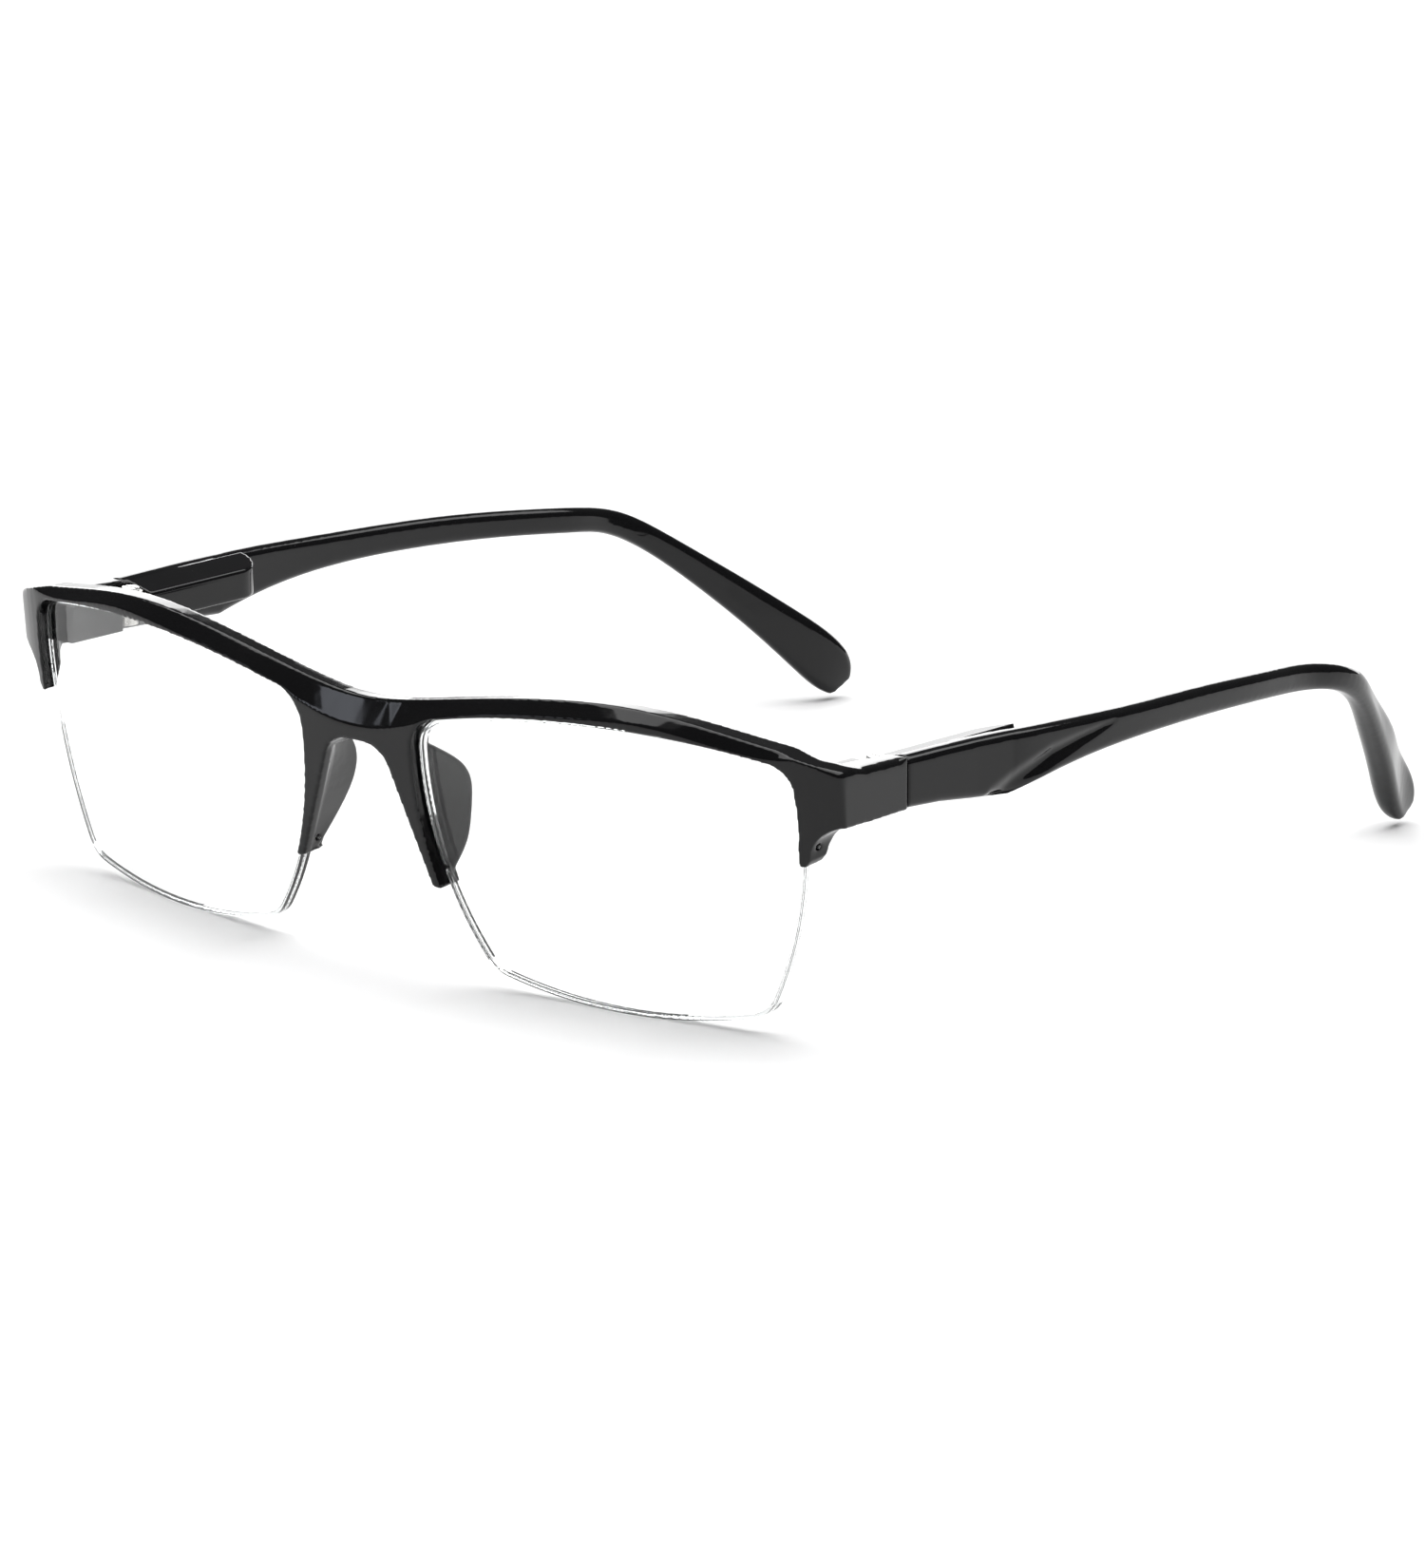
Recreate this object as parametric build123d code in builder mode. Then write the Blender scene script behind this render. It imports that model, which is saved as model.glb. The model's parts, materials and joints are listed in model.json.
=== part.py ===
from build123d import *
import os
from math import cos, radians, sin, sqrt

# Half rim eyeglasses. Millimetres, +Z up, the front faces -Y and the wearer's left is +X.
# The frame stands as it does on a table: on the lower edges of the lenses and on the temple tips, at Z = 0.

# Overall size
half_width = 69.0
beyond = 80.0
half_depth = 72.0
front_lean = 7.0

# Plan curve of the front
face_radius = 222.0
wrap_start = 62.0
wrap_radius = 25.0
rim_depth = 4.2

# Lens
lens_setback = 1.4
lens_thickness = 1.8
rim_gap = 0.35
# The lens outline is where four discs overlap: centre and radius of the top, temporal, bottom and nasal disc
lens_discs = [((37.5, -76.4), 113.3), ((9.3, 27.5), 54.0), ((39.5, 80.0), 80.0), ((51.0, 28.5), 41.5)]
# Corner roundings, with the point that each is near
lens_corners = [((9, 34), 4.5), ((65, 34), 3.5), ((57, 2), 4.5), ((18, 3), 5.0)]

# Nylon cord below the lens and nylon liner above it, both in the groove round its edge
cord_size = 0.5
liner_depth = 0.4
cord_peg_radius = 0.24
cord_hole_radius = 0.4
nasal_peg_height = 14.6
temporal_peg_height = 24.4
liner_clearance = 0.7
# Each peg: distance from the middle, height and length
pegs = [(10.1, nasal_peg_height, 2.1), (62.9, temporal_peg_height, 2.3)]

# Brow bar: distance from the middle, height of the bevel's lower and upper edge, and the upper edge's setback
brow_stations = [
    (0, 31.7, 35.1, 1.9),
    (10, 33.6, 36.2, 1.9),
    (20, 36.3, 37.9, 1.9),
    (30, 37.5, 39.2, 1.8),
    (40, 38.2, 39.6, 1.6),
    (50, 37.3, 38.6, 1.3),
    (60, 35.6, 36.7, 0.9),
    (71, 33.5, 33.7, 0.3),
]
top_slope = 9.0
# Outline (y, z) of the slope from the brow bar down to the side arms
arm_wedge = [(-59.5, 35.6), (-55.5, 34.4), (-46.4, 33.9), (-45.0, 33.9)]
# Slope of the end pieces' tops: a point on it and the direction square to it
end_slope_point = (69.0, -60.4, 34.7)
end_slope_up = (0.25, 0.04, 1.0)

# End pieces and their side arms
arm_outer_at_split = 67.4
arm_inner = 64.5
arm_top = (34.6, 33.9)
arm_bottom = (27.7, 27.4)
split_y = -46.45

# Hinge
hinge_x = 62.7
hinge_y = -47.1
hinge_z = 31.0
knuckle_radius = 1.55
knuckle_half_height = 0.75
leaf_half_height = 2.0
leaf_thickness = 1.6
leaf_length = 7.0
screw_radius = 0.7
screw_hole_radius = 0.72
screw_head_radius = 1.15
screw_head_height = 0.5
joint_gap = 0.03
block_inner = 60.9

# Spring hinge mechanism, as distances behind the screw axis
mouth = 1.75
rod_radius = 0.6
rod_end = 11.5
bush_length = 1.6
bore_radius = 1.1
bore_end = 14.2
box_end = 15.3
box_half_width = 1.4
box_half_height = 1.6
nut_start = 10.3
nut_length = 0.8
nut_radius = 0.95
spring_radius = 0.85
spring_wire = 0.16
spring_pitch = 1.0

# Temple
# Each station: middle of the section, then its height and thickness
temple_stations = [
    ((66.0, -46.3, 30.65), 6.5, 2.8),
    ((66.2, -40.0, 30.5), 6.8, 2.8),
    ((66.4, -34.0, 30.15), 7.4, 2.8),
    ((66.7, -28.0, 29.8), 7.8, 2.8),
    ((67.1, -22.0, 30.25), 6.5, 2.8),
    ((67.1, -14.0, 30.6), 5.1, 2.8),
    ((66.6, -1.7, 30.6), 4.0, 2.8),
    ((65.4, 11.0, 30.2), 3.7, 2.8),
    ((63.8, 22.7, 29.4), 3.5, 2.9),
    ((62.0, 34.3, 28.2), 3.4, 3.0),
    ((60.6, 45.5, 24.5), 3.4, 3.2),
    ((56.1, 54.2, 17.9), 4.3, 3.4),
    ((51.8, 61.9, 11.2), 5.8, 3.5),
    ((49.2, 66.7, 6.6), 6.8, 3.3),
    ((48.4, 69.3, 3.8), 6.2, 2.8),
    ((48.2, 70.5, 1.7), 3.7, 1.9),
]
boss_inner = 60.8
boss_bottom = 28.9
boss_tops = (32.7, 33.7)
boss_end = -24.5
boss_outer = 65.2
edge_round = 0.38

# Temporal drop: depth of its back face; nose pad: height, start and end of the blade in plan
drop_back = 13.9
pad_thickness = 1.5
pad_sections = [
    (12.6, (11.6, -68.6), (12.1, -66.7)),
    (16.5, (10.0, -69.0), (11.1, -64.3)),
    (20.0, (8.65, -69.4), (10.4, -62.5)),
    (23.0, (7.5, -69.8), (10.0, -61.9)),
    (25.4, (6.55, -70.2), (9.9, -62.5)),
    (27.4, (5.8, -70.5), (9.6, -64.4)),
    (29.0, (5.4, -70.7), (8.8, -66.8)),
    (30.6, (5.4, -70.9), (7.2, -69.4)),
]
relief_sections = 6
relief_depth = 2.0
relief_overlap = 0.12
straight_sections = 4
arm_start_y = -58.0
corner_y = -60.5
arm_front_y = -59.4
block_half_height = 2.4


def face_depth(x):
    """Depth of the front surface behind its foremost line, at distance x from the middle."""
    x = abs(x)
    if x <= wrap_start:
        return face_radius - sqrt(face_radius**2 - x**2)
    centre_x = wrap_start * (1 - wrap_radius / face_radius)
    start_rise = sqrt(face_radius**2 - wrap_start**2)
    centre_y = face_radius - start_rise * (1 - wrap_radius / face_radius)
    return centre_y - sqrt(wrap_radius**2 - (x - centre_x) ** 2)


def export(shape, name):
    shape.label = name
    export_step(shape, f"parts/{name}.step")


def lens_profile(inset):
    """Outline of the left lens in the upright front plane, moved inwards all round by an inset."""
    with BuildSketch(Plane.XZ) as profile:
        Rectangle(200, 200)
        for centre, radius in lens_discs:
            with Locations(centre):
                Circle(radius - inset, mode=Mode.INTERSECT)
        for near, radius in lens_corners:
            corner = profile.vertices().sort_by_distance(near)[0]
            fillet(corner, radius - inset)
    return profile.sketch


def curved_slab(front, back):
    """Slab that follows the curve of the front, between two depths behind the front surface."""
    with BuildPart() as slab:
        with BuildSketch(Plane.XY.offset(-2)):
            with Locations((0, face_radius)):
                Circle(face_radius - front)
                Circle(face_radius - back, mode=Mode.SUBTRACT)
            with Locations((0, 20)):
                Rectangle(150, 42, mode=Mode.INTERSECT)
        extrude(amount=46)
    return slab.part


def to_stance(shape):
    """Leans an upright shape forward and moves it to where the front stands."""
    leaned = shape.rotate(Axis.X, front_lean)
    return leaned.moved(Location((0, stance_y, stance_z)))


def make_lens():
    with BuildPart() as lens:
        add(extrude(lens_profile(0), amount=-40))
        add(curved_slab(lens_setback, lens_setback + lens_thickness), mode=Mode.INTERSECT)
    return lens.part


def peg_plane(start, height):
    """Plane across a cord peg, which runs along X at mid lens thickness."""
    depth = face_depth(start) + lens_setback + lens_thickness / 2
    return Plane(origin=(start, depth, height), z_dir=(1, 0, 0))


def make_band(outer, inner):
    """Band along the lens edge at mid thickness, between two insets from the edge."""
    band_front = lens_setback + (lens_thickness - cord_size) / 2
    with BuildPart() as band:
        add(extrude(lens_profile(outer), amount=-40))
        add(extrude(lens_profile(inner), amount=-40), mode=Mode.SUBTRACT)
        add(curved_slab(band_front, band_front + cord_size), mode=Mode.INTERSECT)
    return band.part


def above_pegs(clearance):
    """Everything more than a clearance above the line through the two cord pegs."""
    nasal, temporal = nasal_peg_height + clearance, temporal_peg_height + clearance
    with BuildPart() as region:
        with BuildSketch(Plane.XZ):
            with BuildLine():
                step = Polyline((0, nasal), (30, nasal), (36, temporal), (beyond, temporal))
                Polyline(step @ 1, (beyond, beyond), (0, beyond), step @ 0)
            make_face()
        extrude(amount=-40)
    return region.part


def make_liner():
    """Liner along the top and sides of the lens, half in the lens groove and half in the rim."""
    with BuildPart() as liner:
        add(make_band(-rim_gap - liner_depth, cord_size))
        add(above_pegs(liner_clearance), mode=Mode.INTERSECT)
    return liner.part


def make_cord():
    """Cord in the groove of the bare edge, with a peg into the hole at each end."""
    with BuildPart() as cord:
        add(make_band(0, cord_size))
        add(above_pegs(0), mode=Mode.SUBTRACT)
        for start, height, length in pegs:
            with BuildSketch(peg_plane(start, height)):
                Circle(cord_peg_radius)
            extrude(amount=length)
    return cord.part


def make_peg_holes():
    with BuildPart() as holes:
        for start, height, length in pegs:
            with BuildSketch(peg_plane(start, height).offset(-0.5)):
                Circle(cord_hole_radius)
            extrude(amount=length + 1)
    return holes.part


def make_brow_cutter():
    """Everything above the brow bar: its lower skin is the slanting bevel and the top face behind it."""
    left_half = [(-x, low, top, setback) for x, low, top, setback in reversed(brow_stations[1:])]
    with BuildPart() as cutter:
        for x, low, top, setback in left_half + brow_stations:
            front = face_depth(x)
            rise = top - low
            with BuildSketch(Plane.YZ.offset(x)):
                with BuildLine():
                    Polyline(
                        (front - setback, low - rise),
                        (front + setback, top),
                        (front + setback + 16, top - 16 * sin(radians(top_slope))),
                        (front + setback + 16, 50),
                        (front - setback, 50),
                        close=True,
                    )
                make_face()
        loft()
    return cutter.part


def make_face_part(brow_cutter):
    """Brow bar, bridge, end pieces, temporal drops and nasal arms, upright."""
    with BuildPart() as face:
        with BuildSketch(Plane.XZ):
            with BuildLine():
                arch = FilletPolyline((0, 29.8), (4.3, 29.8), (10.8, 12.9), radius=4)
                Polyline(arch @ 1, (11.9, 12.6), (12.9, 13.3), (20, 30), (58, 30), (62.2, 22.4), (64.2, 22.1))
                drop_end = Line((64.2, 22.1), (64.8, 22.9))
                sweep = ThreePointArc(drop_end @ 1, (65.8, 25.6), (68.3, 27.0))
                Polyline(sweep @ 1, (half_width, 27.0), (half_width, 45), (0, 45), arch @ 0)
            make_face()
            mirror(about=Plane.YZ)
        extrude(amount=-30)
        with BuildSketch(Plane.XY.offset(-2)):
            with BuildLine():
                half_front = [Vector(x, face_depth(x)) for x in (wrap_start, -wrap_start)]
                middle = ThreePointArc(half_front[1], (0, 0), half_front[0])
                right = TangentArc(middle @ 1, (70, face_depth(70)), tangent=middle % 1)
                left = TangentArc(middle @ 0, (-70, face_depth(70)), tangent=-(middle % 0))
                Polyline(right @ 1, (70, 18), (-70, 18), left @ 1)
            make_face()
        extrude(amount=50, mode=Mode.INTERSECT)
        with BuildSketch(Plane.XY.offset(-2)) as hollow:
            with Locations((0, face_radius)):
                Circle(face_radius - rim_depth)
            with Locations((0, 20)):
                Rectangle(2 * arm_inner, 40, mode=Mode.INTERSECT)
            fillet(hollow.vertices().group_by(Axis.Y)[0], 2.5)
        extrude(amount=50, mode=Mode.SUBTRACT)
        opening = extrude(lens_profile(-rim_gap), amount=-30, mode=Mode.SUBTRACT)
        mirror(opening, about=Plane.YZ, mode=Mode.SUBTRACT)
        with BuildSketch(Plane.YZ.offset(-half_width)):
            with BuildLine():
                back = Polyline((20, 27), (20, 20), (drop_back - 2.1, 20), (drop_back, 24.6))
                ThreePointArc(back @ 1, (drop_back + 0.9, 26.2), (drop_back + 3, 27))
                Line((drop_back + 3, 27), back @ 0)
            make_face()
        extrude(amount=2 * half_width, mode=Mode.SUBTRACT)
        add(brow_cutter, mode=Mode.SUBTRACT)
    return face.part


def make_pad():
    """Left nose pad: a blade that starts in the nasal arm and flares back and out."""
    with BuildPart() as pad:
        for height, start, end in pad_sections:
            blade = Vector(end[0] - start[0], end[1] - start[1])
            middle = Vector(*start) + blade / 2
            frame = Plane(origin=(middle.X, middle.Y, height), x_dir=blade, z_dir=(0, 0, 1))
            with BuildSketch(frame):
                SlotCenterToCenter(blade.length, pad_thickness)
        loft()
    return pad.part


def make_pad_relief():
    """Space on the nose side of the pad, which leaves the nasal arm flush with the pad's face."""
    with BuildPart() as relief:
        for height, start, end in pad_sections[:relief_sections]:
            blade = Vector(end[0] - start[0], end[1] - start[1])
            origin = (start[0], start[1], height)
            with BuildSketch(Plane(origin=origin, x_dir=blade, z_dir=(0, 0, 1))):
                with Locations((0, pad_thickness / 2 - relief_overlap)):
                    Rectangle(blade.length + relief_depth, relief_depth, align=Align.MIN)
        loft()
    return relief.part


def make_side_arm():
    """Left side arm: plan outline within a side outline, with the block that holds the hinge leaf."""
    with BuildPart() as arm:
        with BuildSketch(Plane.XY.offset(26)):
            with BuildLine():
                Polyline(
                    (arm_outer_at_split, split_y),
                    (half_width, corner_y),
                    (arm_inner, arm_start_y),
                    (arm_inner, split_y),
                    close=True,
                )
            make_face()
        extrude(amount=10)
        with BuildSketch(Plane.YZ.offset(50)):
            with BuildLine():
                Polyline(
                    (arm_front_y, arm_bottom[0]),
                    (split_y, arm_bottom[1]),
                    (split_y, arm_top[1]),
                    (arm_front_y, arm_top[0]),
                    close=True,
                )
            make_face()
        extrude(amount=25, mode=Mode.INTERSECT)
        block_end = hinge_y - 2.1
        with Locations(((block_inner + 65.5) / 2, (arm_start_y + block_end) / 2, hinge_z)):
            Box(65.5 - block_inner, block_end - arm_start_y, 2 * block_half_height)
    return arm.part


def make_leaf():
    """Two-knuckle leaf that is moulded into the end piece."""
    with BuildPart() as leaf:
        with BuildSketch(Plane.XY.offset(hinge_z - leaf_half_height)):
            with Locations((hinge_x, hinge_y)):
                Circle(knuckle_radius)
            with Locations((hinge_x, hinge_y - leaf_length / 2)):
                Rectangle(leaf_thickness, leaf_length)
        extrude(amount=2 * leaf_half_height)
        notch = knuckle_half_height + joint_gap
        with BuildSketch(Plane.XY.offset(hinge_z - notch)):
            with Locations((hinge_x, hinge_y)):
                Circle(knuckle_radius + 0.1)
        extrude(amount=2 * notch, mode=Mode.SUBTRACT)
        with Locations((hinge_x, hinge_y, hinge_z)):
            Hole(screw_hole_radius)
    return leaf.part


def make_screw():
    """Slotted hinge screw with its head on the upper knuckle."""
    head_base = hinge_z + leaf_half_height + 0.02
    shank_base = hinge_z - leaf_half_height
    with BuildPart() as screw:
        with BuildSketch(Plane.XY.offset(shank_base)):
            with Locations((hinge_x, hinge_y)):
                Circle(screw_radius)
        extrude(amount=head_base - shank_base)
        with BuildSketch(Plane.XY.offset(head_base)):
            with Locations((hinge_x, hinge_y)):
                Circle(screw_head_radius)
        extrude(amount=screw_head_height)
        head_rim = screw.edges().filter_by(GeomType.CIRCLE).sort_by(Axis.Z)[-1]
        fillet(head_rim, 0.15)
        with Locations((hinge_x, hinge_y, head_base + screw_head_height)):
            Box(3, 0.3, 0.5, mode=Mode.SUBTRACT)
    return screw.part


def behind(distance):
    """Point on the rod's axis, at a distance behind the screw."""
    return (hinge_x, hinge_y + distance, hinge_z)


def ring(start, length, outer, inner):
    with BuildPart() as tube:
        with BuildSketch(Plane(origin=behind(start), z_dir=(0, 1, 0))):
            Circle(outer)
            Circle(inner, mode=Mode.SUBTRACT)
        extrude(amount=length)
    return tube.part


def make_slider():
    """Centre knuckle with a shoulder and the pull rod."""
    with BuildPart() as slider:
        with BuildSketch(Plane.XY.offset(hinge_z - knuckle_half_height)):
            with Locations((hinge_x, hinge_y)):
                Circle(knuckle_radius)
            with Locations((hinge_x, hinge_y + (mouth - 0.05) / 2)):
                Rectangle(2.2, mouth - 0.05)
        extrude(amount=2 * knuckle_half_height)
        with BuildSketch(Plane(origin=behind(1), z_dir=(0, 1, 0))):
            Circle(rod_radius)
        extrude(amount=rod_end - 1)
        with Locations((hinge_x, hinge_y, hinge_z)):
            Hole(screw_hole_radius, depth=2)
    return slider.part


def box_block():
    """Outside of the spring box, which is also the cavity it fills in the temple."""
    with BuildPart() as block:
        with BuildSketch(Plane(origin=behind(mouth), z_dir=(0, 1, 0), x_dir=(1, 0, 0))):
            RectangleRounded(2 * box_half_width, 2 * box_half_height, 0.4)
        extrude(amount=box_end - mouth)
    return block.part


def make_spring_box():
    with BuildPart() as box:
        add(box_block())
        with BuildSketch(Plane(origin=behind(mouth), z_dir=(0, 1, 0))):
            Circle(bore_radius)
        extrude(amount=bore_end - mouth, mode=Mode.SUBTRACT)
    return box.part


def make_spring():
    start = mouth + bush_length + spring_wire + 0.02
    height = nut_start - spring_wire - 0.02 - start
    coil = Helix(spring_pitch, height, spring_radius, center=behind(start), direction=(0, 1, 0))
    with BuildPart() as spring:
        with BuildSketch(Plane(origin=coil @ 0, z_dir=coil % 0)):
            Circle(spring_wire)
        sweep(path=coil, is_frenet=True)
    return spring.part


def make_boss():
    """Hinge boss on the inside of the temple, with a rounded rear end and a top that slants down inwards."""
    with BuildPart() as boss:
        with BuildSketch(Plane.XY.offset(boss_bottom)):
            with BuildLine():
                side = Polyline(
                    (boss_outer, boss_end),
                    (boss_outer, hinge_y + mouth),
                    (boss_inner, hinge_y + mouth),
                    (boss_inner, boss_end - 4),
                )
                TangentArc(side @ 1, side @ 0, tangent=side % 1)
            make_face()
        extrude(amount=6)
        with BuildSketch(Plane.XZ):
            with BuildLine():
                Polyline(
                    (boss_inner, boss_bottom),
                    (boss_outer, boss_bottom),
                    (boss_outer, boss_tops[1]),
                    (boss_inner, boss_tops[0]),
                    close=True,
                )
            make_face()
        extrude(amount=half_depth, mode=Mode.INTERSECT)
    return boss.part


def make_temple():
    """Left temple: sections lofted along its length, with the hinge boss that holds the spring box."""
    points = [Vector(*middle) for middle, height, thickness in temple_stations]
    sections = []
    for index, (middle, height, thickness) in enumerate(temple_stations):
        ahead = points[min(index + 1, len(points) - 1)]
        along = ahead - points[max(index - 1, 0)] if index else Vector(0, 1, 0)
        across = along.cross(Vector(0, 0, 1))
        with BuildSketch(Plane(origin=middle, x_dir=across, z_dir=along)) as section:
            RectangleRounded(thickness, height, thickness * edge_round)
        sections.append(section.sketch)
    with BuildPart() as temple:
        loft(sections[:straight_sections], ruled=True)
        loft(sections[straight_sections - 1 :])
        add(make_boss())
        add(box_block(), mode=Mode.SUBTRACT)
    return temple.part


def make_end_slope():
    """Everything above the slope of the left end piece's top."""
    with BuildPart() as above:
        with Locations(Plane(origin=end_slope_point, z_dir=end_slope_up)):
            Box(beyond, beyond, beyond, align=(Align.CENTER, Align.CENTER, Align.MIN))
    return above.part


def make_front(cuts):
    """Front frame in its stance, with the left side's cuts made on both sides."""
    with BuildPart() as front:
        add(to_stance(make_face_part(make_brow_cutter())))
        with BuildSketch(Plane.XY.offset(20)):
            with BuildLine():
                Polyline(
                    (half_width, corner_y),
                    (arm_outer_at_split, split_y),
                    (beyond, split_y),
                    (beyond, corner_y),
                    close=True,
                )
            make_face()
            mirror(about=Plane.YZ)
        extrude(amount=20, mode=Mode.SUBTRACT)
        with BuildSketch(Plane.YZ.offset(-half_width)):
            with BuildLine():
                wedge = Polyline(arm_wedge)
                Polyline(wedge @ 1, (arm_wedge[-1][0], beyond), (arm_wedge[0][0], beyond), wedge @ 0)
            make_face()
        extrude(amount=2 * half_width, mode=Mode.SUBTRACT)
        end_slope = make_end_slope()
        add(end_slope, mode=Mode.SUBTRACT)
        mirror(end_slope, about=Plane.YZ, mode=Mode.SUBTRACT)
        pad, relief = make_pad(), make_pad_relief()
        add(relief, mode=Mode.SUBTRACT)
        mirror(relief, about=Plane.YZ, mode=Mode.SUBTRACT)
        for piece in (pad, make_side_arm()):
            add(piece)
            mirror(piece, about=Plane.YZ)
        for cut in cuts:
            add(cut, mode=Mode.SUBTRACT)
            mirror(cut, about=Plane.YZ, mode=Mode.SUBTRACT)
    return front.part


os.makedirs("parts", exist_ok=True)
stance_y = -half_depth + brow_stations[0][1] * sin(radians(front_lean))
stance_z = 0
stance_z = -to_stance(make_lens()).bounding_box().min.Z
with BuildPart() as grooved_lens:
    add(make_lens())
    add(make_band(0, cord_size), mode=Mode.SUBTRACT)
lens_cord = to_stance(make_cord())
lens_liner = to_stance(make_liner())
hinge_leaf = make_leaf()
lens_space = to_stance(make_lens())
front_frame = make_front([lens_liner, lens_space, to_stance(make_peg_holes()), hinge_leaf])
left_pieces = {
    "lens": to_stance(grooved_lens.part),
    "lens_cord": lens_cord,
    "lens_liner": lens_liner,
    "hinge_leaf": hinge_leaf,
    "hinge_screw": make_screw(),
    "spring_slider": make_slider(),
    "spring_box": make_spring_box(),
    "guide_bush": ring(mouth, bush_length, bore_radius, rod_radius + 0.03),
    "hinge_spring": make_spring(),
    "rod_nut": ring(nut_start, nut_length, nut_radius, rod_radius + 0.01),
    "temple": make_temple(),
}
export(front_frame, "front_frame")
for name, piece in left_pieces.items():
    export(piece, f"{name}_left")
    export(mirror(piece, about=Plane.YZ), f"{name}_right")
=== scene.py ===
import json
import math

import bpy
import bmesh
import numpy as np
from mathutils import Matrix, Quaternion, Vector


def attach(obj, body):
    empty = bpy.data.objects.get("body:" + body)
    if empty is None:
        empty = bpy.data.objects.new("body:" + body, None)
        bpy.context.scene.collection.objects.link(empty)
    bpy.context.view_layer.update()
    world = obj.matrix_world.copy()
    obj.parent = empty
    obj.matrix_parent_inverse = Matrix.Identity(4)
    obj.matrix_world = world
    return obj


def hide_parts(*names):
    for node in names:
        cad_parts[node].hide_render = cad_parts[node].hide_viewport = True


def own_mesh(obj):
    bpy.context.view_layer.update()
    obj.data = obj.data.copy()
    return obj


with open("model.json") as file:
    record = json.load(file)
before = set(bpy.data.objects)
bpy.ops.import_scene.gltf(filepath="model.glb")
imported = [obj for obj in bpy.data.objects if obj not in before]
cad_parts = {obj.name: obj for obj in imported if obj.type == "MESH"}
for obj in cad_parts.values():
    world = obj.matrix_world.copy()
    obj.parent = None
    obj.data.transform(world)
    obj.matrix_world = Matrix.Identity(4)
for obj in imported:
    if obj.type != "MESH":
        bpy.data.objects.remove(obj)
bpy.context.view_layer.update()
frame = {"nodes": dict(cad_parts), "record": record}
nodes = frame["nodes"]
scene = bpy.context.scene
SIDES = ("left", "right")
MM = 0.001

# ---------------------------------------------------------------- materials


class Tree:
    """A material's node tree, with short calls for what the materials here share."""

    def __init__(self, name, **values):
        """Each value goes to the shader's own socket of that name, with spaces for underscores."""
        self.material = bpy.data.materials.new(name)
        self.material.use_nodes = True
        self.nodes = self.material.node_tree.nodes
        self.links = self.material.node_tree.links
        self.shader = self.nodes["Principled BSDF"]
        for socket, value in values.items():
            self.shader.inputs[socket.replace("_", " ")].default_value = value
        self.place = self.nodes.new("ShaderNodeTexCoord").outputs["Object"]

    def noise(self, scale, detail=2.0, stretch=None):
        """Noise over the object's own coordinates, with scale features to the metre."""
        place = self.place
        if stretch:
            mapping = self.nodes.new("ShaderNodeMapping")
            mapping.inputs["Scale"].default_value = stretch
            self.links.new(place, mapping.inputs["Vector"])
            place = mapping.outputs["Vector"]
        node = self.nodes.new("ShaderNodeTexNoise")
        node.inputs["Scale"].default_value = scale
        node.inputs["Detail"].default_value = detail
        self.links.new(place, node.inputs["Vector"])
        return node.outputs["Fac"]

    def ramp(self, source, low, high, start=0.3, end=0.7):
        """Goes from low to high as the source goes from start to end."""
        node = self.nodes.new("ShaderNodeMapRange")
        node.inputs["From Min"].default_value = start
        node.inputs["From Max"].default_value = end
        node.inputs["To Min"].default_value = low
        node.inputs["To Max"].default_value = high
        self.links.new(source, node.inputs["Value"])
        return node.outputs["Result"]

    def tint(self, source, dark, light):
        node = self.nodes.new("ShaderNodeMix")
        node.data_type = "RGBA"
        node.inputs["A"].default_value = (*dark, 1)
        node.inputs["B"].default_value = (*light, 1)
        self.links.new(source, node.inputs["Factor"])
        return node.outputs["Result"]

    def math(self, operation, first, second=0.0):
        node = self.nodes.new("ShaderNodeMath")
        node.operation = operation
        self.links.new(first, node.inputs[0])
        if isinstance(second, float):
            node.inputs[1].default_value = second
        else:
            self.links.new(second, node.inputs[1])
        return node.outputs["Value"]

    def drive(self, source, socket):
        self.links.new(source, self.shader.inputs[socket])

    def bump(self, source, strength, distance):
        node = self.nodes.new("ShaderNodeBump")
        node.inputs["Strength"].default_value = strength
        node.inputs["Distance"].default_value = distance
        self.links.new(source, node.inputs["Height"])
        self.links.new(node.outputs["Normal"], self.shader.inputs["Normal"])


# The nose pads lie behind the front's face and beside the middle: where their satin fades in, in metres
PAD_DEPTH = (-0.0695, -0.0682)
PAD_REACH = (0.0125, 0.0135)
PAD_ROUGHNESS = 0.4


def gloss_plastic():
    """Injection moulded gloss black with faint flow waviness; the nose pads have a satin texture."""
    tree = Tree("gloss_black_plastic", IOR=1.35)
    axes = tree.nodes.new("ShaderNodeSeparateXYZ")
    tree.links.new(tree.place, axes.inputs["Vector"])
    across = tree.math("ABSOLUTE", axes.outputs["X"])
    behind_face = tree.ramp(axes.outputs["Y"], 0, 1, *PAD_DEPTH)
    near_middle = tree.ramp(across, 1, 0, *PAD_REACH)
    pad = tree.math("MULTIPLY", behind_face, near_middle)
    gloss = tree.ramp(tree.noise(160, 6), 0.05, 0.11)
    tree.drive(tree.tint(tree.noise(90, 4), (0.0035, 0.0035, 0.004), (0.006, 0.006, 0.0065)), "Base Color")
    tree.drive(tree.math("MAXIMUM", gloss, tree.math("MULTIPLY", pad, PAD_ROUGHNESS)), "Roughness")
    tree.bump(tree.noise(220, 1), 0.02, 0.00012)
    return tree.material


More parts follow.
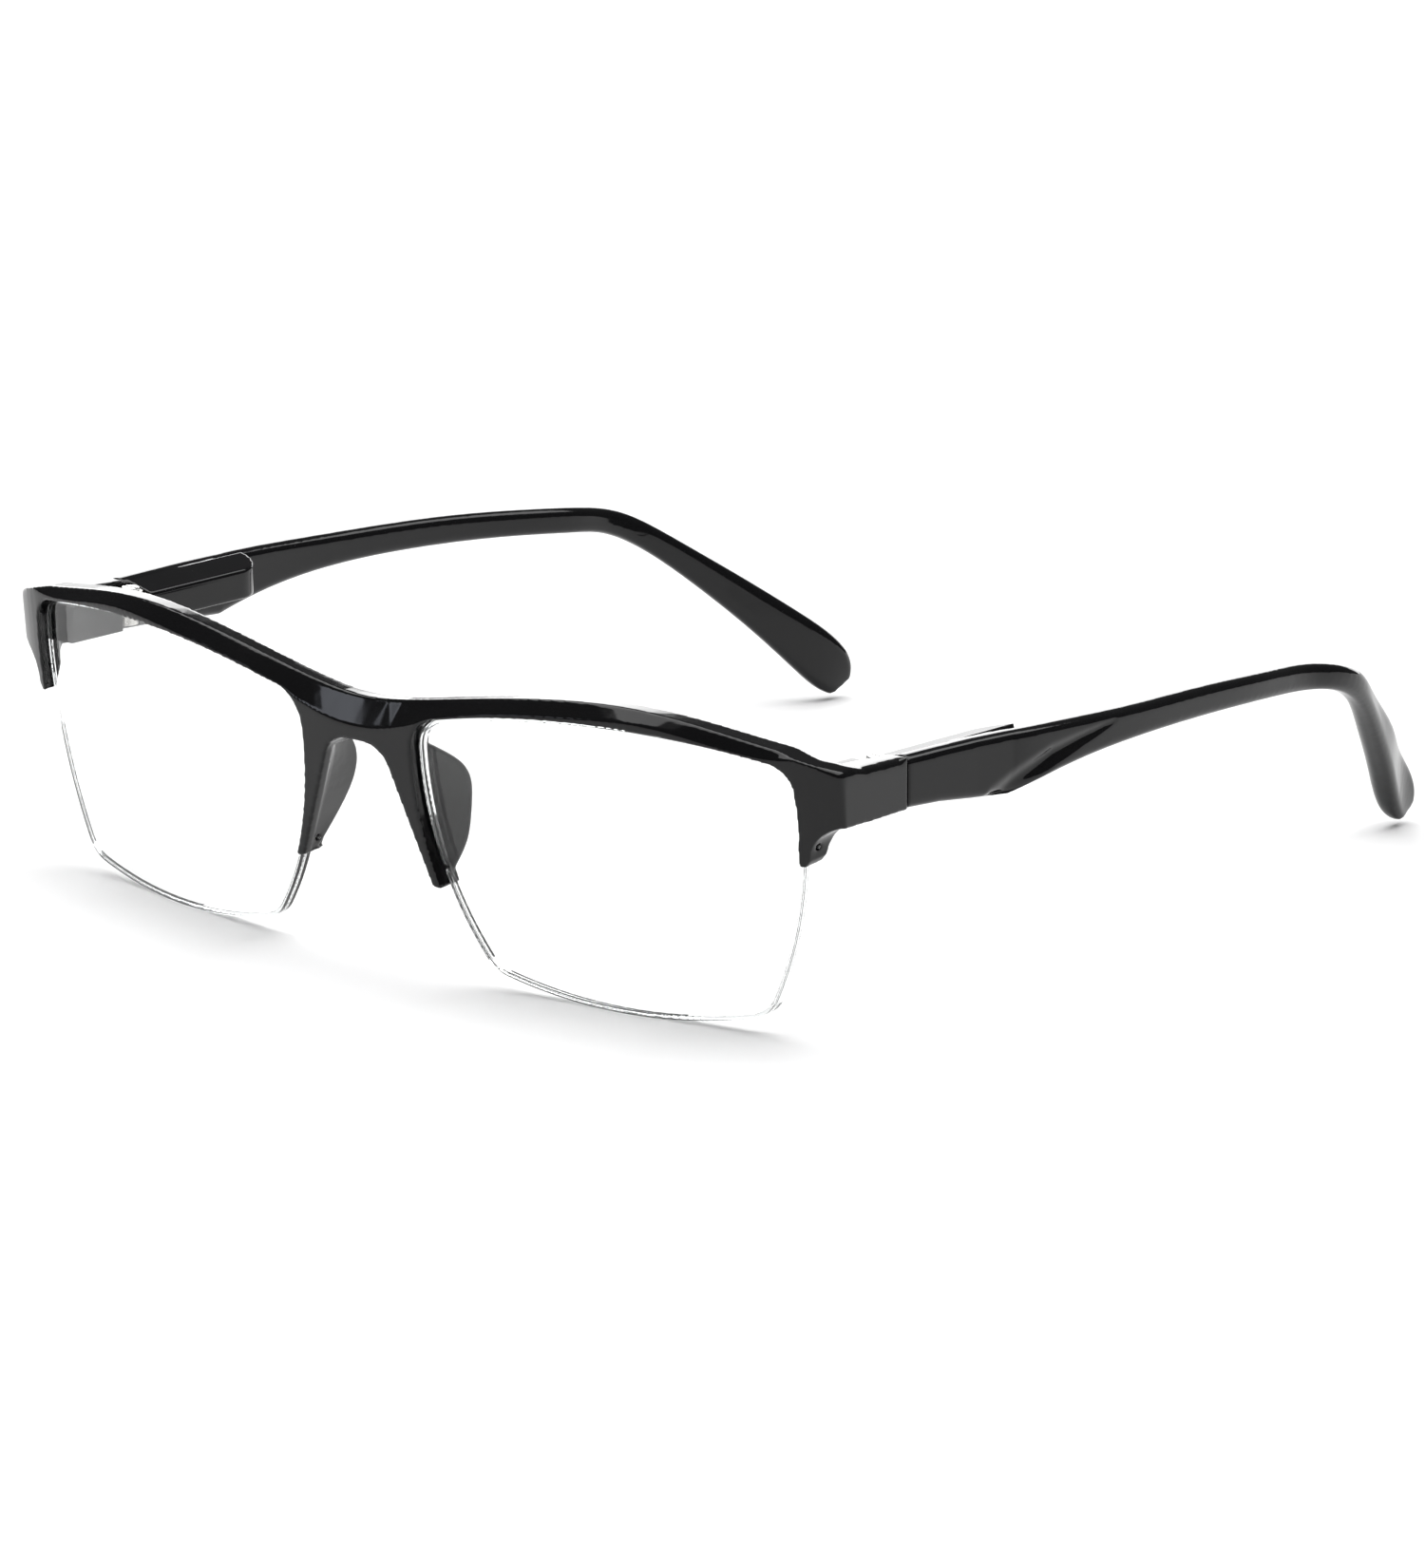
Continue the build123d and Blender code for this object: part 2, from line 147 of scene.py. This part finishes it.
def metal(name, light, dark, rough, stretch):
    """Bare metal whose fine grain runs along the axis with the smallest stretch."""
    tree = Tree(name, Metallic=1.0)
    grain = tree.noise(2600, 3, stretch)
    tree.drive(tree.tint(grain, dark, light), "Base Color")
    tree.drive(tree.ramp(grain, rough - 0.08, rough + 0.1), "Roughness")
    tree.bump(grain, 0.25, 0.00002)
    return tree.material


def clear_lens():
    """Optically clear lens plastic, with the faintest change of tint over its face."""
    tree = Tree("clear_lens", IOR=1.34, Roughness=0.0, Transmission_Weight=1.0)
    tree.drive(tree.tint(tree.noise(40, 1), (0.985, 0.99, 0.99), (0.995, 1.0, 0.998)), "Base Color")
    return tree.material


def nylon():
    """Clear drawn line, slightly milky in places."""
    tree = Tree("clear_nylon_line", IOR=1.3, Roughness=0.05, Transmission_Weight=0.96)
    tree.drive(tree.tint(tree.noise(900, 2, (1, 1, 1)), (0.9, 0.91, 0.91), (0.97, 0.98, 0.98)), "Base Color")
    return tree.material


materials = {
    "black_plastic": gloss_plastic(),
    "hinge_metal": metal("plated_hinge_steel", (0.7, 0.69, 0.66), (0.5, 0.49, 0.47), 0.3, (1, 0.06, 1)),
    "screw_metal": metal("polished_screw", (0.8, 0.8, 0.79), (0.62, 0.62, 0.61), 0.16, (1, 1, 0.1)),
    "spring_steel": metal("spring_wire", (0.6, 0.6, 0.62), (0.4, 0.4, 0.42), 0.26, (1, 1, 1)),
    "lens_clear": clear_lens(),
    "nylon_cord": nylon(),
}

slots = {part["node"]: part["material_slot"] for part in frame["record"]["subparts"]}
owners = {node: body for body, group in frame["record"]["behaviour"]["bodies"].items() for node in group}
for name, node in nodes.items():
    node.data.materials.clear()
    node.data.materials.append(materials[slots[name]])

# ---------------------------------------------------------------- moulded pieces

# Voxels in millimetres and rounds of smoothing, which together set how round the moulded edges are
FRONT_VOXEL = 0.2
TEMPLE_VOXEL = 0.22
LINE_VOXEL = 0.1
PLASTIC_ROUNDS = 5
LINE_ROUNDS = 3
SOFT_ROUNDS = 90
SCULPTED_ROUNDS = 2
WELD_GAP = 0.0005


def moulded(node, voxel, rounding, softer=None, sculpt=None):
    """A piece over a CAD node, as it leaves the mould: edges rounded, then sculpted in millimetres.

    softer is a test of a vertex's place that picks where edges get much rounder.
    """
    mesh = nodes[node].data.copy()
    piece = bpy.data.objects.new(f"{node}_moulded", mesh)
    scene.collection.objects.link(piece)
    edit = bmesh.new()
    edit.from_mesh(mesh)
    bmesh.ops.scale(edit, vec=(1 / MM, 1 / MM, 1 / MM), verts=edit.verts)
    bmesh.ops.remove_doubles(edit, verts=edit.verts, dist=WELD_GAP)
    edit.to_mesh(mesh)
    edit.free()
    remesh = piece.modifiers.new("remesh", "REMESH")
    remesh.mode = "VOXEL"
    remesh.voxel_size = voxel
    remesh.use_smooth_shade = True
    bake(piece)
    if softer:
        group = piece.vertex_groups.new(name="softer")
        for vertex in piece.data.vertices:
            weight = softer(abs(vertex.co.x), vertex.co.y, vertex.co.z)
            if weight > 0:
                group.add([vertex.index], min(weight, 1), "REPLACE")
        smooth(piece, SOFT_ROUNDS, group.name)
    smooth(piece, rounding)
    bake(piece)
    if sculpt:
        place = np.empty(len(piece.data.vertices) * 3)
        normal = np.empty(len(piece.data.vertices) * 3)
        piece.data.vertices.foreach_get("co", place)
        piece.data.vertices.foreach_get("normal", normal)
        place = sculpt(place.reshape(-1, 3), normal.reshape(-1, 3))
        piece.data.vertices.foreach_set("co", place.ravel())
        smooth(piece, SCULPTED_ROUNDS)
        bake(piece)
    piece.data.transform(Matrix.Scale(MM, 4))
    piece.data.materials.clear()
    piece.data.materials.append(materials[slots[node]])
    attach(piece, owners[node])
    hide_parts(node)
    return piece


def smooth(piece, rounds, group=""):
    """Adds rounds of smoothing, over the whole piece or weighted by one of its vertex groups."""
    modifier = piece.modifiers.new("smooth", "SMOOTH")
    modifier.factor = 0.5
    modifier.iterations = rounds
    modifier.vertex_group = group


def bake(piece):
    """Applies the piece's modifiers."""
    view = bpy.context.evaluated_depsgraph_get()
    view.update()
    done = bpy.data.meshes.new_from_object(piece.evaluated_get(view), depsgraph=view)
    piece.modifiers.clear()
    old = piece.data
    piece.data = done
    bpy.data.meshes.remove(old)


# The sculpted valley on the outside of each temple, in millimetres. Its middle line (y, z) goes up from the
# lower edge to its point, and it gets narrower and shallower on the way.
VALLEY = np.array([(-30.6, 25.6), (-26.0, 27.9), (-21.0, 29.8), (-16.0, 30.8), (-9.0, 31.9)])
VALLEY_STEPS = 60
VALLEY_DEPTH = 0.85
WIDTH_BELOW = 2.6
WIDTH_ABOVE = 2.3
POINT_WIDTH = 0.35
NARROWING = 0.8
SHALLOWING = 0.6
# The outer face is where the outward part of the normal rises past the first value, fully by their sum
OUTWARD_START = 0.2
OUTWARD_RISE = 0.5


def carve_valley(place, normal):
    """Lets the outer face dip into a tapering diagonal valley between the wide panel and the slim arm."""
    line = np.array([
        [np.interp(t, np.linspace(0, 1, len(VALLEY)), VALLEY[:, k]) for k in (0, 1)]
        for t in np.linspace(0, 1, VALLEY_STEPS)
    ])
    offset = place[:, None, 1:] - line[None]
    distance = np.linalg.norm(offset, axis=2)
    nearest = distance.argmin(1)
    along = nearest / (len(line) - 1)
    tangent = np.gradient(line, axis=0)[nearest]
    reach = offset[np.arange(len(place)), nearest]
    below = np.sign(tangent[:, 0] * reach[:, 1] - tangent[:, 1] * reach[:, 0]) < 0
    width = np.where(below, WIDTH_BELOW, WIDTH_ABOVE) * (1 - along) ** NARROWING + POINT_WIDTH
    fade = np.clip(1 - distance.min(1) / width, 0, 1)
    fade = fade * fade * (3 - 2 * fade)
    outside = np.clip((normal[:, 0] * np.sign(place[:, 0]) - OUTWARD_START) / OUTWARD_RISE, 0, 1)
    place[:, 0] -= np.sign(place[:, 0]) * VALLEY_DEPTH * (1 - along) ** SHALLOWING * fade * outside
    return place


# An end piece's upright front corner (x, y) and its upper outer edge (x, z), which starts and stops at
# these y, and how far from each the surface gets rounder, in millimetres
FRONT_CORNER = (69, -60.5)
CORNER_REACH = 1.4
UPPER_EDGE = (68.2, 34.4)
UPPER_REACH = 2.0
UPPER_STRENGTH = 2
EDGE_START = -62
START_FADE = 2
EDGE_STOP = -46.9
STOP_FADE = 1.2


def end_piece_corner(x, y, z):
    """How much rounder an end piece's front corner and upper outer edge are than other edges."""
    corner = 1 - math.hypot(x - FRONT_CORNER[0], y - FRONT_CORNER[1]) / CORNER_REACH
    upper = 1 - math.hypot(x - UPPER_EDGE[0], z - UPPER_EDGE[1]) / UPPER_REACH
    ends = min(1, (y - EDGE_START) / START_FADE, (EDGE_STOP - y) / STOP_FADE)
    return max(corner, min(upper * UPPER_STRENGTH, ends))


moulded("front_frame", FRONT_VOXEL, PLASTIC_ROUNDS, softer=end_piece_corner)
for side in SIDES:
    moulded(f"temple_{side}", TEMPLE_VOXEL, PLASTIC_ROUNDS, sculpt=carve_valley)
    moulded(f"lens_cord_{side}", LINE_VOXEL, LINE_ROUNDS)
    moulded(f"lens_liner_{side}", LINE_VOXEL, LINE_ROUNDS)


def squeezed_spring(side):
    """The hinge spring's coil, an own copy of the CAD node's mesh that rides with its body in place of the
    node.
    """
    node = f"hinge_spring_{side}"
    coil = bpy.data.objects.new(f"{node}_coil", nodes[node].data.copy())
    scene.collection.objects.link(coil)
    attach(coil, owners[node])
    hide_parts(node)
    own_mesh(coil)


for side in SIDES:
    squeezed_spring(side)

# ---------------------------------------------------------------- stage

FLOOR_SIZE = 6
FLOOR_PARTS = 8
FILL_STRENGTH = 0.1
WHITE = (1, 1, 1)
BLUISH = (0.86, 0.9, 1.0)
PALE_BLUE = (0.9, 0.93, 1.0)
# Name, place, aim, width and height, all in metres, then power in watts and colour
LIGHTS = (
    ("overhead", (-0.1, 0.25, 1.5), (0, 0.05, 0), (2.6, 1.9), 52, WHITE),
    ("back_wall", (-1.25, 1.4, 0.33), (0, 0, 0.05), (3.0, 0.62), 20, WHITE),
    ("window", (-0.855, -1.135, 0.52), (0, 0, 0.03), (0.36, 0.2), 0.8, BLUISH),
    ("side_window", (-1.101, -0.924, 0.52), (0, 0, 0.03), (0.05, 0.12), 0.066, BLUISH),
    ("low_strip", (0.35, -1.5, 0.66), (0, 0, 0.03), (0.9, 0.05), 0.2, PALE_BLUE),
)


def area_light(name, place, target, size, power, colour):
    data = bpy.data.lights.new(name, "AREA")
    data.shape = "RECTANGLE"
    data.size, data.size_y = size
    data.energy = power
    data.color = colour
    light = bpy.data.objects.new(name, data)
    light.location = place
    light.rotation_euler = (Vector(target) - Vector(place)).to_track_quat("-Z", "Y").to_euler()
    light.visible_camera = False
    scene.collection.objects.link(light)


def make_stage():
    bpy.ops.mesh.primitive_grid_add(
        x_subdivisions=FLOOR_PARTS, y_subdivisions=FLOOR_PARTS, size=FLOOR_SIZE, location=(0, 0, 0)
    )
    floor = bpy.context.object
    floor.name = "floor"
    tree = Tree("white_sweep", Roughness=0.9)
    tree.drive(tree.tint(tree.noise(2), (0.9, 0.9, 0.9), (0.92, 0.92, 0.92)), "Base Color")
    floor.data.materials.append(tree.material)
    world = bpy.data.worlds.new("studio")
    world.use_nodes = True
    background = world.node_tree.nodes["Background"]
    background.inputs["Color"].default_value = (*WHITE, 1)
    background.inputs["Strength"].default_value = FILL_STRENGTH
    scene.world = world
    for light in LIGHTS:
        area_light(*light)


# The camera's angles in degrees, its aim and distance in metres, and its lens in millimetres
AZIMUTH = 42.3
ELEVATION = 14.49
ROLL = 0.14
AIM = (0, -0.00706, 0.01131)
DISTANCE = 1.6235
LENS = 297.56
SENSOR = 36


def make_camera():
    azimuth, elevation = math.radians(AZIMUTH), math.radians(ELEVATION)
    back = Vector((
        math.sin(azimuth) * math.cos(elevation),
        -math.cos(azimuth) * math.cos(elevation),
        math.sin(elevation),
    ))
    camera = bpy.data.objects.new("camera", bpy.data.cameras.new("camera"))
    camera.location = Vector(AIM) + back * DISTANCE
    level = (-back).to_track_quat("-Z", "Y")
    camera.rotation_mode = "QUATERNION"
    camera.rotation_quaternion = level @ Quaternion((0, 0, 1), math.radians(ROLL))
    camera.data.lens = LENS
    camera.data.sensor_width = SENSOR
    scene.collection.objects.link(camera)
    scene.camera = camera


make_stage()
make_camera()
scene.view_settings.view_transform = "Standard"
